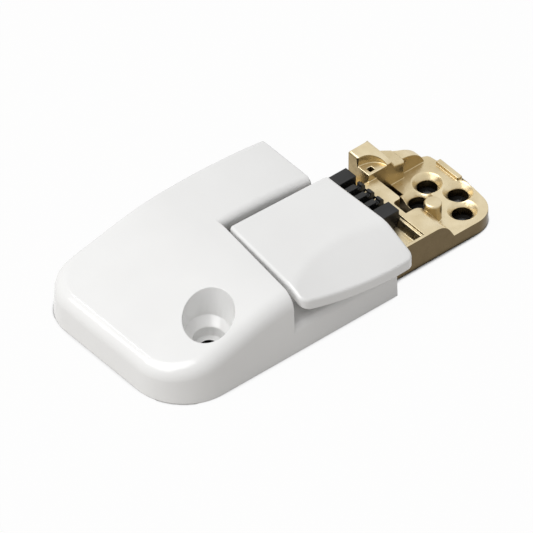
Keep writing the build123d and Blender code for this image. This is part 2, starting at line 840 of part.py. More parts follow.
# Screws of the plate, with pan heads
with BuildPart() as plate_screws:
    with Locations(*[(x, y, plate_z + bolt_plate_thickness) for x, y in plate_screw_points]):
        Cylinder(plate_screw_head_radius, plate_screw_head_height,
                 align=(Align.CENTER, Align.CENTER, Align.MIN))
        Cylinder(plate_screw_radius, plate_screw_length, align=(Align.CENTER, Align.CENTER, Align.MAX))
plate_screws.part.label = "plate_screws"

# Screws that hold the cover from below, sunk in the seat
with BuildPart() as cover_screws:
    with Locations(*[(x, y, screw_head_height) for x, y in cover_screw_points]):
        Cylinder(screw_head_radius, screw_head_height - screw_play,
                 align=(Align.CENTER, Align.CENTER, Align.MAX))
        Cylinder(screw_radius, screw_length, align=(Align.CENTER, Align.CENTER, Align.MIN))
cover_screws.part.label = "cover_screws"

# Rubber pads that stop the lever
with BuildPart() as lever_pads:
    for (x, y), top in zip(pad_points, pillar_tops):
        with Locations((x, y, top)):
            Cylinder(pad_radius, pad_height, align=(Align.CENTER, Align.CENTER, Align.MIN))
lever_pads.part.label = "lever_pads"

pieces = [
    cover, lever, lever_crank, chassis, guide_comb, lever_pin, pin_clips,
    bolt, bolt_spring, bolt_plate, plate_screws, cover_screws, lever_pads,
]
os.makedirs("parts", exist_ok=True)
for piece in pieces:
    export_step(piece.part, f"parts/{piece.part.label}.step")
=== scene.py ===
"""Dresses the shutter lock: gloss paint, cast brass, moulded plastic and steel, in a pale studio."""

import json
import logging
import math
from dataclasses import dataclass
from enum import Enum
from typing import Dict, List, Sequence, Tuple

import bmesh
import bpy
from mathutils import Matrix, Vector

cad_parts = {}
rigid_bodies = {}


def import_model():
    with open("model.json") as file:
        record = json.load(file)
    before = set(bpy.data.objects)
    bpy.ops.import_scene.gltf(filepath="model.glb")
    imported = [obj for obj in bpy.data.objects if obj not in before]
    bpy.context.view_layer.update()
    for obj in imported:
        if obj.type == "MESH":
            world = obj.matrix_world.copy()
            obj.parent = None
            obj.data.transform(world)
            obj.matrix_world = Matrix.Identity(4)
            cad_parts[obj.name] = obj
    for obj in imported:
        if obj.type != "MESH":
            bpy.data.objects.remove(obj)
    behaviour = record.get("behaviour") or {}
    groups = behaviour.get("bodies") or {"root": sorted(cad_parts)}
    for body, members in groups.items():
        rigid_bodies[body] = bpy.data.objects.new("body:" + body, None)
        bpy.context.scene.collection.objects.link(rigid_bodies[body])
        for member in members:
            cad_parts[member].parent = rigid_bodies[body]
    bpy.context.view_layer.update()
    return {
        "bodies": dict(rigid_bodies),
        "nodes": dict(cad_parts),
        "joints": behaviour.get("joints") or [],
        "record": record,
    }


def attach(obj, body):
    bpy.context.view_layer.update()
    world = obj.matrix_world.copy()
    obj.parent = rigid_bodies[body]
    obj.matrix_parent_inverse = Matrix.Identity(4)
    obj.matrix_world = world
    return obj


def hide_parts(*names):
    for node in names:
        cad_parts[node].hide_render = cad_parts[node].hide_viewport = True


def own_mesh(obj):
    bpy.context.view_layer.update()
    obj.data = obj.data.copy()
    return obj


LOG = logging.getLogger("shutter_lock")
Colour = Tuple[float, float, float]
Point = Tuple[float, float, float]
Pair = Tuple[float, float]
MM = 0.001


class Body(Enum):
    """Rigid bodies of the lock."""

    BASE = "base"
    LEVER = "lever"
    BOLT = "bolt"


class Slot(Enum):
    """Material slots of the lock."""

    WHITE_PAINT = "white_paint"
    LEVER_PAINT = "lever_paint"
    CAST_BRASS = "cast_brass"
    BLACK_PLASTIC = "black_plastic"
    BRIGHT_STEEL = "bright_steel"
    SPRING_STEEL = "spring_steel"
    PAD_RUBBER = "pad_rubber"


class Sum(Enum):
    """What a Math node does with its two values."""

    PLUS = "ADD"
    TIMES = "MULTIPLY"
    LARGER = "MAXIMUM"
    IS_PAST = "GREATER_THAN"


class Slope(Enum):
    """How a mapped value goes from its low end to its high end."""

    STRAIGHT = "LINEAR"
    SMOOTH = "SMOOTHSTEP"


def rgba(colour: Colour) -> Tuple[float, float, float, float]:
    """Colour with full opacity."""
    return (*colour, 1.0)


def feed(tree: bpy.types.NodeTree, target: bpy.types.NodeSocket, value: object) -> None:
    """Fills an input of a node.

    Args:
        tree: The node tree.
        target: The input.
        value: A socket to link, or a plain value to set.
    """
    if isinstance(value, bpy.types.NodeSocket):
        tree.links.new(value, target)
    else:
        target.default_value = value


def reckon(tree: bpy.types.NodeTree, kind: Sum, first: object, second: object, clamp: bool = False
           ) -> bpy.types.NodeSocket:
    """Adds a Math node.

    Args:
        tree: The node tree.
        kind: What the node does.
        first: First value or socket.
        second: Second value or socket.
        clamp: Whether the result is kept between 0 and 1.

    Returns:
        The value socket.
    """
    node = tree.nodes.new("ShaderNodeMath")
    node.operation = kind.value
    node.use_clamp = clamp
    feed(tree, node.inputs[0], first)
    feed(tree, node.inputs[1], second)
    return node.outputs["Value"]


def mapped(tree: bpy.types.NodeTree, value: bpy.types.NodeSocket, source: Pair, result: Tuple[object, object],
           slope: Slope = Slope.STRAIGHT) -> bpy.types.NodeSocket:
    """Adds a Map Range node.

    Args:
        tree: The node tree.
        value: The socket that is read.
        source: Where the value's range starts and ends.
        result: Values or sockets that stand for the start and the end.
        slope: How the result goes from one to the other.

    Returns:
        The value socket.
    """
    node = tree.nodes.new("ShaderNodeMapRange")
    node.interpolation_type = slope.value
    feed(tree, node.inputs["Value"], value)
    for name, number in zip(("From Min", "From Max", "To Min", "To Max"), (*source, *result)):
        feed(tree, node.inputs[name], number)
    return node.outputs["Result"]


def along(tree: bpy.types.NodeTree, vector: bpy.types.NodeSocket, axis: str) -> bpy.types.NodeSocket:
    """Part of a vector along X, Y or Z."""
    split = tree.nodes.new("ShaderNodeSeparateXYZ")
    tree.links.new(vector, split.inputs["Vector"])
    return split.outputs[axis]


@dataclass(frozen=True)
class Noise:
    """Noise of a finish: cells per metre, octaves of finer noise and the scale of each axis."""

    scale: float
    detail: float
    stretch: Point = (1.0, 1.0, 1.0)


@dataclass(frozen=True)
class Relief:
    """Fine relief of a finish: its noise, its depth in metres and how strongly it shows."""

    noise: Noise
    depth: float
    strength: float


class NodeSheet:
    """Short calls for building a material's node tree."""

    noise_middle: Pair = (0.3, 0.7)
    corner_samples: int = 8

    def __init__(self, slot: Slot) -> None:
        """Starts an empty material with a Principled shader.

        Args:
            slot: The slot that names the material.
        """
        self.material = bpy.data.materials.new(slot.value)
        self.material.use_nodes = True
        self.tree = self.material.node_tree
        self.tree.nodes.clear()
        output = self.tree.nodes.new("ShaderNodeOutputMaterial")
        self.shader = self.tree.nodes.new("ShaderNodeBsdfPrincipled")
        self.tree.links.new(self.shader.outputs["BSDF"], output.inputs["Surface"])
        coordinates = self.tree.nodes.new("ShaderNodeTexCoord")
        self.place = coordinates.outputs["Object"]
        self.facing = coordinates.outputs["Normal"]

    def set(self, **values: object) -> None:
        """Fills the shader's own inputs, with underscores for the spaces in their names."""
        for key, value in values.items():
            feed(self.tree, self.shader.inputs[key.replace("_", " ")], value)

    def noise(self, noise: Noise) -> bpy.types.NodeSocket:
        """Noise in object space.

        Args:
            noise: Its sizes.

        Returns:
            The noise's value socket.
        """
        mapping = self.tree.nodes.new("ShaderNodeMapping")
        mapping.inputs["Scale"].default_value = noise.stretch
        self.tree.links.new(self.place, mapping.inputs["Vector"])
        node = self.tree.nodes.new("ShaderNodeTexNoise")
        node.inputs["Scale"].default_value = noise.scale
        node.inputs["Detail"].default_value = noise.detail
        self.tree.links.new(mapping.outputs["Vector"], node.inputs["Vector"])
        return node.outputs["Fac"]

    def ramp(self, value: bpy.types.NodeSocket, low: Colour, high: Colour, source: Pair = (0.0, 1.0)
             ) -> bpy.types.NodeSocket:
        """Two colours spread over a value.

        Args:
            value: The socket that is read.
            low: Colour up to the start of the source range.
            high: Colour from the end of the source range.
            source: Where the spread starts and ends.

        Returns:
            The colour socket.
        """
        ramp = self.tree.nodes.new("ShaderNodeValToRGB")
        for element, position, colour in zip(ramp.color_ramp.elements, source, (low, high)):
            element.position = position
            element.color = rgba(colour)
        self.tree.links.new(value, ramp.inputs["Fac"])
        return ramp.outputs["Color"]

    def upright(self, source: Pair) -> bpy.types.NodeSocket:
        """Value that is 1 on walls and 0 on faces that look up, from the slope of the surface.

        Args:
            source: Upward part of the normal up to which a face is a wall, and from which it looks up.

        Returns:
            The value socket.
        """
        return mapped(self.tree, along(self.tree, self.facing, "Z"), source, (1.0, 0.0), Slope.SMOOTH)

    def beyond(self, axis: str, start: float, end: float) -> bpy.types.NodeSocket:
        """Value that rises from 0 to 1 along an axis of the object.

        Args:
            axis: X, Y or Z.
            start: Place up to which it is 0.
            end: Place from which it is 1.

        Returns:
            The value socket.
        """
        return mapped(self.tree, along(self.tree, self.place, axis), (start, end), (0.0, 1.0), Slope.SMOOTH)

    def all_of(self, values: Sequence[bpy.types.NodeSocket]) -> bpy.types.NodeSocket:
        """Product of some values.

        Args:
            values: The sockets that are multiplied.

        Returns:
            The value socket.
        """
        total = values[0]
        for value in values[1:]:
            total = reckon(self.tree, Sum.TIMES, total, value)
        return total

    def mix(self, first: object, second: object, share: bpy.types.NodeSocket) -> bpy.types.NodeSocket:
        """Colour that goes from one colour to another.

        Args:
            first: Colour or socket at a share of 0.
            second: Colour or socket at a share of 1.
            share: The share's socket.

        Returns:
            The colour socket.
        """
        node = self.tree.nodes.new("ShaderNodeMix")
        node.data_type = "RGBA"
        for name, value in (("Factor", share), ("A", first), ("B", second)):
            feed(self.tree, node.inputs[name], value)
        return node.outputs["Result"]

    def span(self, noise: Noise, result: Pair) -> bpy.types.NodeSocket:
        """Value that a noise's middle range spreads between the two ends of a result."""
        return mapped(self.tree, self.noise(noise), self.noise_middle, result)

    def soft_corners(self, radius: float) -> None:
        """Shades sharp corners as if they were rounded to that radius."""
        node = self.tree.nodes.new("ShaderNodeBevel")
        node.samples = self.corner_samples
        node.inputs["Radius"].default_value = radius
        self.set(Normal=node.outputs["Normal"], Coat_Normal=node.outputs["Normal"])

    def bump(self, relief: Relief) -> None:
        """Lays a relief over any normal that the shader already has."""
        node = self.tree.nodes.new("ShaderNodeBump")
        node.inputs["Distance"].default_value = relief.depth
        node.inputs["Strength"].default_value = relief.strength
        self.tree.links.new(self.noise(relief.noise), node.inputs["Height"])
        normal = self.shader.inputs["Normal"]
        if normal.links:
            self.tree.links.new(normal.links[0].from_socket, node.inputs["Normal"])
        self.tree.links.new(node.outputs["Normal"], normal)


@dataclass(frozen=True)
class GlossPaint:
    """Stoved white paint with a faint orange peel, and painted shade: near-black colour in the bore of the
    screw well, standing in for the shadow of the deep hole.
    """

    slot: Slot
    light: Colour = (0.84, 0.838, 0.83)
    dark: Colour = (0.81, 0.807, 0.798)
    # Near-black painted shade for the bore of the screw well.
    bore_shade: Colour = (0.012, 0.011, 0.010)
    tint: Noise = Noise(38.0, 3.0)
    tint_range: Pair = (0.3, 0.65)
    sheen: Noise = Noise(160.0, 2.0)
    roughness: Pair = (0.19, 0.26)
    ior: float = 1.5
    coat: float = 0.4
    coat_roughness: float = 0.05
    peel: Relief = Relief(Noise(420.0, 2.0), 0.02 * MM, 0.25)
    corner: float = 0.4 * MM
    bore_centre: Pair = (-33.5 * MM, -15.1 * MM)
    bore_half: float = 2.7 * MM
    bore_top: float = 3.35 * MM
    bore_blend: float = 0.05 * MM

    def material(self) -> bpy.types.Material:
        """Builds the material."""
        sheet = NodeSheet(self.slot)
        paint = sheet.ramp(sheet.noise(self.tint), self.dark, self.light, self.tint_range)
        # The bore takes the near-black painted shade in place of the paint.
        sheet.set(Base_Color=sheet.mix(paint, rgba(self.bore_shade), self.bore(sheet)),
                  Roughness=sheet.span(self.sheen, self.roughness),
                  IOR=self.ior, Coat_Weight=self.coat, Coat_Roughness=self.coat_roughness)
        sheet.soft_corners(self.corner)
        sheet.bump(self.peel)
        return sheet.material

    def bore(self, sheet: NodeSheet) -> bpy.types.NodeSocket:
        """Value that is 1 in the bore of the screw well, where the near-black painted shade goes.

        Args:
            sheet: The material's node tree.

        Returns:
            The value socket.
        """
        inside = [sheet.beyond("Z", self.bore_top, self.bore_top - self.bore_blend)]
        for axis, middle in zip("XY", self.bore_centre):
            low = middle - self.bore_half
            high = middle + self.bore_half
            inside.append(sheet.beyond(axis, low, low + self.bore_blend))
            inside.append(sheet.beyond(axis, high, high - self.bore_blend))
        return sheet.all_of(inside)


@dataclass(frozen=True)
class CastBrass:
    """Pale brass-coloured casting with a tumbled, slightly grainy skin and painted shade on its walls: dark on
    the outer walls, less dark on the inner walls by the hook.
    """

    slot: Slot
    light: Colour = (0.76, 0.655, 0.445)
    dark: Colour = (0.62, 0.51, 0.31)
    # Painted shade and dark reflection on the upright outer walls.
    side: Colour = (0.14, 0.10, 0.048)
    # Lighter painted shade and reflection on the inner walls that inner_y and inner_z pick out.
    inner_wall_shade: Colour = (0.42, 0.32, 0.165)
    inner_y: Pair = (-22.5 * MM, -20.5 * MM)
    inner_z: Pair = (2.6 * MM, 4.0 * MM)
    wall_slope: Pair = (0.15, 0.75)
    tint: Noise = Noise(140.0, 6.0)
    tint_range: Pair = (0.32, 0.6)
    sheen: Noise = Noise(420.0, 4.0)
    roughness: Pair = (0.24, 0.44)
    corner: float = 0.35 * MM
    grain: Relief = Relief(Noise(1500.0, 3.0), 0.04 * MM, 0.35)
    waves: Relief = Relief(Noise(260.0, 3.0), 0.12 * MM, 0.3)

    def material(self) -> bpy.types.Material:
        """Builds the material."""
        sheet = NodeSheet(self.slot)
        skin = sheet.ramp(sheet.noise(self.tint), self.dark, self.light, self.tint_range)
        # Painted shade: walls, found from the slope of the surface, take a darker colour than the tops.
        inside = sheet.all_of([sheet.beyond("Y", *self.inner_y), sheet.beyond("Z", *self.inner_z)])
        wall = sheet.ramp(inside, self.side, self.inner_wall_shade)
        sheet.set(Base_Color=sheet.mix(skin, wall, sheet.upright(self.wall_slope)),
                  Roughness=sheet.span(self.sheen, self.roughness), Metallic=1.0)
        sheet.soft_corners(self.corner)
        sheet.bump(self.grain)
        sheet.bump(self.waves)
        return sheet.material


@dataclass(frozen=True)
class MouldedPlastic:
    """Black moulded plastic or rubber with a fine spark-eroded grain."""

    slot: Slot
    light: Colour = (0.012, 0.012, 0.0125)
    dark: Colour = (0.005, 0.005, 0.005)
    tint: Noise = Noise(300.0, 4.0)
    tint_range: Pair = (0.3, 0.7)
    sheen: Noise = Noise(900.0, 3.0)
    roughness: Pair = (0.31, 0.46)
    gloss: float = 0.4
    grain: Relief = Relief(Noise(2600.0, 2.0), 0.03 * MM, 0.3)

    def material(self) -> bpy.types.Material:
        """Builds the material."""
        sheet = NodeSheet(self.slot)
        sheet.set(Base_Color=sheet.ramp(sheet.noise(self.tint), self.dark, self.light, self.tint_range),
                  Roughness=sheet.span(self.sheen, self.roughness), Specular_IOR_Level=self.gloss)
        sheet.bump(self.grain)
        return sheet.material


@dataclass(frozen=True)
class DrawnSteel:
    """Zinc-plated steel with drawing marks along one axis."""

    slot: Slot
    light: Colour = (0.66, 0.66, 0.65)
    dark: Colour = (0.46, 0.46, 0.46)
    tint_range: Pair = (0.3, 0.6)
    roughness: Pair = (0.22, 0.4)
    marks: Relief = Relief(Noise(2200.0, 4.0, (1.0, 0.06, 1.0)), 0.02 * MM, 0.3)

    def material(self) -> bpy.types.Material:
        """Builds the material."""
        sheet = NodeSheet(self.slot)
        marks = self.marks.noise
        sheet.set(Base_Color=sheet.ramp(sheet.noise(marks), self.dark, self.light, self.tint_range),
                  Roughness=sheet.span(marks, self.roughness), Metallic=1.0)
        sheet.bump(self.marks)
        return sheet.material


def finishes() -> Dict[Slot, bpy.types.Material]:
    """Builds the finish of every slot.

    Returns:
        The materials by slot.
    """
    kinds = (
        GlossPaint(Slot.WHITE_PAINT),
        GlossPaint(Slot.LEVER_PAINT),
        CastBrass(Slot.CAST_BRASS),
        MouldedPlastic(Slot.BLACK_PLASTIC),
        DrawnSteel(Slot.BRIGHT_STEEL),
        DrawnSteel(Slot.SPRING_STEEL, light=(0.5, 0.5, 0.5), dark=(0.3, 0.3, 0.3)),
        MouldedPlastic(Slot.PAD_RUBBER, roughness=(0.65, 0.8)),
    )
    return {kind.slot: kind.material() for kind in kinds}


def settle(piece: bpy.types.Object) -> None:
    """Turns a piece's modifiers into plain mesh and removes them."""
    graph = bpy.context.evaluated_depsgraph_get()
    graph.update()
    mesh = bpy.data.meshes.new_from_object(piece.evaluated_get(graph), preserve_all_data_layers=True,
                                           depsgraph=graph)
    piece.modifiers.clear()
    piece.data = mesh


@dataclass
class Piece:
    """A piece of the lock that stands for one solid."""

    node: str
    body: Body
    slot: Slot

    @property
    def name(self) -> str:
        """Name of the finished piece."""
        return f"{self.node}_skin"

    def shape(self, solid: bpy.types.Object, material: bpy.types.Material) -> bpy.types.Object:
        """Makes and dresses the mesh, which each kind of piece does in its own way.

        Args:
            solid: The solid's object.
            material: The finish of the piece.

        Returns:
            The piece as an object.
        """
        raise NotImplementedError

    def build(self, frame: Dict[str, dict], material: bpy.types.Material) -> bpy.types.Object:
        """Makes the piece, hides the solid and puts the piece under its body.

        Args:
            frame: What import_model returned.
            material: The finish of the piece.

        Returns:
            The finished piece.
        """
        piece = self.shape(frame["nodes"][self.node], material)
        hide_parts(self.node)
        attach(piece, self.body.value)
        return piece


@dataclass(frozen=True)
class SoftEdge:
    """Sharp edges inside some boxes, in millimetres, which get a rounding of their own."""

    boxes: Tuple[Tuple[Point, Point], ...]
    width: float
    segments: int

    def holds(self, edge: bmesh.types.BMEdge) -> bool:
        """Tells whether both ends of an edge lie inside one of the boxes."""
        return any(all(low[i] <= vert.co[i] / MM <= high[i] for vert in edge.verts for i in range(3))
                   for low, high in self.boxes)


@dataclass
class SmoothCopy(Piece):
    """Copy of a solid with welded corners, soft edges and even shading."""

    edge: float = 0.0
    edge_segments: int = 2
    soft_edges: Sequence[SoftEdge] = ()
    sharp_angle: float = 32.0
    flat_angle: float = 0.4
    weld: float = 0.002 * MM
    round_profile: float = 0.5

    def shape(self, solid: bpy.types.Object, material: bpy.types.Material) -> bpy.types.Object:
        """Makes the copy and evens its shading.

        Args:
            solid: The solid's object.
            material: The finish of the piece.

        Returns:
            The piece as an object.
        """
        piece = bpy.data.objects.new(self.name, self.softened(solid))
        bpy.context.collection.objects.link(piece)
        even = piece.modifiers.new("even", "WEIGHTED_NORMAL")
        even.keep_sharp = True
        settle(piece)
        piece.data.materials.clear()
        piece.data.materials.append(material)
        return piece

    def softened(self, solid: bpy.types.Object) -> bpy.types.Mesh:
        """Mesh of a solid with its triangles welded, its flat faces merged and its edges rounded.

        Args:
            solid: The solid's object.

        Returns:
            A new mesh with its sharp edges marked.
        """
        sheet = bmesh.new()
        sheet.from_mesh(solid.data)
        sheet.transform(solid.matrix_world)
        bmesh.ops.remove_doubles(sheet, verts=sheet.verts, dist=self.weld)
        bmesh.ops.dissolve_limit(sheet, angle_limit=math.radians(self.flat_angle), verts=sheet.verts,
                                 edges=sheet.edges, use_dissolve_boundaries=False)
        for soft in self.soft_edges:
            chosen = [edge for edge in self.sharp(sheet) if edge.is_convex and soft.holds(edge)]
            self.rounded(sheet, chosen, soft.width, soft.segments)
            LOG.info("soft edges of %s: %d", self.node, len(chosen))
        if self.edge > 0:
            self.rounded(sheet, self.sharp(sheet), self.edge, self.edge_segments)
        bmesh.ops.dissolve_degenerate(sheet, edges=sheet.edges, dist=self.weld)
        for face in sheet.faces:
            face.smooth = True
        for edge in self.sharp(sheet):
            edge.smooth = False
        mesh = bpy.data.meshes.new(self.name)
        sheet.to_mesh(mesh)
        sheet.free()
        return mesh

    def sharp(self, sheet: bmesh.types.BMesh) -> List[bmesh.types.BMEdge]:
        """Edges at which the surface turns by more than the sharp angle."""
        limit = math.radians(self.sharp_angle)
        return [edge for edge in sheet.edges if edge.calc_face_angle(math.pi) > limit]

    def rounded(self, sheet: bmesh.types.BMesh, edges: List[bmesh.types.BMEdge], width: float, segments: int
                ) -> None:
        """Rounds edges.

        Args:
            sheet: The mesh that is changed.
            edges: The edges to round.
            width: How far the rounding reaches on each side, in metres.
            segments: Faces across the rounding.
        """
        bmesh.ops.bevel(sheet, geom=edges, offset=width, offset_type="OFFSET", segments=segments,
                        profile=self.round_profile, affect="EDGES", clamp_overlap=False)


@dataclass
class CoverHousing(SmoothCopy):
    """Painted cover, whose far arm has a well-rounded inner edge."""

    node: str = "cover"
    body: Body = Body.BASE
    slot: Slot = Slot.WHITE_PAINT
    soft_edges: Sequence[SoftEdge] = (
        SoftEdge((((-12.7, 5.5, 15.0), (17.1, 5.7, 19.0)),), 1.8 * MM, 5),
    )


@dataclass
class FingerLever(SmoothCopy):
    """Painted lever that a finger lifts at its near edge."""

    node: str = "lever"
    body: Body = Body.LEVER
    slot: Slot = Slot.LEVER_PAINT
    edge: float = 0.12 * MM


@dataclass
class Chassis(SmoothCopy):
    """Brass-coloured casting, with rounder edges on its tower and its hook block."""

    node: str = "chassis"
    body: Body = Body.BASE
    slot: Slot = Slot.CAST_BRASS
    edge: float = 0.15 * MM
    soft_edges: Sequence[SoftEdge] = (
        SoftEdge((
            ((32.2, 5.5, 11.2), (32.4, 9.4, 14.3)),
            ((32.2, 9.2, 14.1), (38.6, 9.4, 14.3)),
            ((38.4, 5.2, 14.1), (38.6, 9.4, 14.3)),
            ((38.4, 1.1, 11.5), (40.1, 5.4, 14.3)),
            ((44.1, 1.1, 2.0), (44.3, 1.3, 9.5)),
            ((39.9, 1.1, 9.3), (44.3, 1.3, 11.7)),
        ), 0.6 * MM, 4),
    )


@dataclass
class SideBolt(SmoothCopy):
    """Steel bolt that comes out of the far side."""

    node: str = "bolt"
    body: Body = Body.BOLT
    slot: Slot = Slot.BRIGHT_STEEL
    edge: float = 0.15 * MM


@dataclass
class SmallSteel(SmoothCopy):
    """Small fixed steel piece: the hinge pin, the bolt's plate or a set of screws."""

    body: Body = Body.BASE
    slot: Slot = Slot.BRIGHT_STEEL
    edge: float = 0.08 * MM


@dataclass
class LeverCrank(SmoothCopy):
    """Steel arm under the lever that reaches into the bolt."""

    node: str = "lever_crank"
    body: Body = Body.LEVER
    slot: Slot = Slot.BRIGHT_STEEL
    edge: float = 0.1 * MM


@dataclass
class PinClips(SmoothCopy):
    """Spring clips at the ends of the hinge pin."""

    node: str = "pin_clips"
    body: Body = Body.BASE
    slot: Slot = Slot.SPRING_STEEL


@dataclass
class LeverPads(SmoothCopy):
    """Rubber pads that the lever comes to rest on."""

    node: str = "lever_pads"
    body: Body = Body.BASE
    slot: Slot = Slot.PAD_RUBBER
    edge: float = 0.2 * MM


class NodeRecipe:
    """Geometry Nodes group that makes a mesh from named sizes."""

    def __init__(self, name: str) -> None:
        """Starts a group with one mesh output.

        Args:
            name: The group's name.
        """
        self.tree = bpy.data.node_groups.new(name, "GeometryNodeTree")
        self.tree.interface.new_socket("Mesh", in_out="OUTPUT", socket_type="NodeSocketGeometry")
        self.source = self.tree.nodes.new("NodeGroupInput")
        self.sink = self.tree.nodes.new("NodeGroupOutput")
        self.values: Dict[str, object] = {}

    def size(self, name: str, value: object, kind: str = "NodeSocketFloat") -> bpy.types.NodeSocket:
        """Adds a named input.

        Args:
            name: The input's name.
            value: Its value on the piece.
            kind: Its socket type.

        Returns:
            The socket inside the group.
        """
        socket = self.tree.interface.new_socket(name, in_out="INPUT", socket_type=kind)
        self.values[socket.identifier] = value
        return self.source.outputs[name]

    def node(self, kind: str, **inputs: object) -> bpy.types.Node:
        """Adds a node and fills its inputs.

        Args:
            kind: The node's type.
            inputs: Values or sockets by input name, with underscores for spaces.

        Returns:
            The node.
        """
        node = self.tree.nodes.new(kind)
        for key, value in inputs.items():
            feed(self.tree, node.inputs[key.replace("_", " ")], value)
        return node

    def copy_of(self, source: bpy.types.Object) -> bpy.types.NodeSocket:
        """Mesh of another object, as a named input of the group."""
        node = self.node("GeometryNodeObjectInfo", Object=self.size(source.name, source, "NodeSocketObject"))
        return node.outputs["Geometry"]

    def finish(self, mesh: bpy.types.NodeSocket, material: bpy.types.Material) -> None:
        """Realizes the instances and sets the material at the end of the group."""
        real = self.node("GeometryNodeRealizeInstances", Geometry=mesh)
        dressed = self.node("GeometryNodeSetMaterial", Geometry=real.outputs["Geometry"], Material=material)
        self.tree.links.new(dressed.outputs["Geometry"], self.sink.inputs["Mesh"])

    def bake(self, name: str) -> bpy.types.Object:
        """Runs the group once.

        Args:
            name: Name of the piece.

        Returns:
            An object with the plain mesh.
        """
        piece = bpy.data.objects.new(name, bpy.data.meshes.new(name))
        bpy.context.collection.objects.link(piece)
        modifier = piece.modifiers.new(name, "NODES")
        modifier.node_group = self.tree
        for identifier, value in self.values.items():
            modifier[identifier] = value
        settle(piece)
        return piece


@dataclass
class CoilSpring(Piece):
    """Return spring between the chassis stop and the bolt; the real one shortens as the bolt draws back, and
    this piece keeps its length.
    """

    node: str = "bolt_spring"
    body: Body = Body.BASE
    slot: Slot = Slot.SPRING_STEEL
    centre: Pair = (4.4 * MM, 4.25 * MM)
    start: float = -16.7 * MM
    length: float = 8.4 * MM
    radius: float = 1.5 * MM
    wire: float = 0.3 * MM
    turns: float = 7.0
    turn_points: int = 40
    wire_sides: int = 12
    travel_share: float = 0.42
    stop: float = -17.0 * MM

    def shape(self, solid: bpy.types.Object, material: bpy.types.Material) -> bpy.types.Object:
        """Winds the wire along Y.

        Args:
            solid: The solid's object, which the coil's own sizes follow.
            material: The finish of the wire.

        Returns:
            The piece as an object.
        """
        recipe = NodeRecipe("coil")
        radius = recipe.size("Radius", self.radius)
        coil = recipe.node("GeometryNodeCurveSpiral", Resolution=self.turn_points,
                           Rotations=recipe.size("Turns", self.turns), Start_Radius=radius, End_Radius=radius,
                           Height=recipe.size("Length", self.length))
        laid = recipe.node("GeometryNodeTransform", Geometry=coil.outputs["Curve"],
                           Translation=(self.centre[0], self.start, self.centre[1]),
                           Rotation=(-math.pi / 2, 0.0, 0.0))
        ring = recipe.node("GeometryNodeCurvePrimitiveCircle", Resolution=self.wire_sides,
                           Radius=recipe.size("Wire radius", self.wire / 2))
        tube = recipe.node("GeometryNodeCurveToMesh", Curve=laid.outputs["Geometry"],
                           Profile_Curve=ring.outputs["Curve"], Fill_Caps=True)
        recipe.finish(tube.outputs["Mesh"], material)
        piece = recipe.bake(self.name)
        for face in piece.data.polygons:
            face.use_smooth = len(face.vertices) < self.wire_sides
        return piece

    def build(self, frame: Dict[str, dict], material: bpy.types.Material) -> bpy.types.Object:
        """Makes the coil and puts it under its body, with a mesh of its own.

        Args:
            frame: What import_model returned.
            material: The finish of the wire.

        Returns:
            The finished piece.
        """
        piece = super().build(frame, material)
        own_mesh(piece)
        return piece


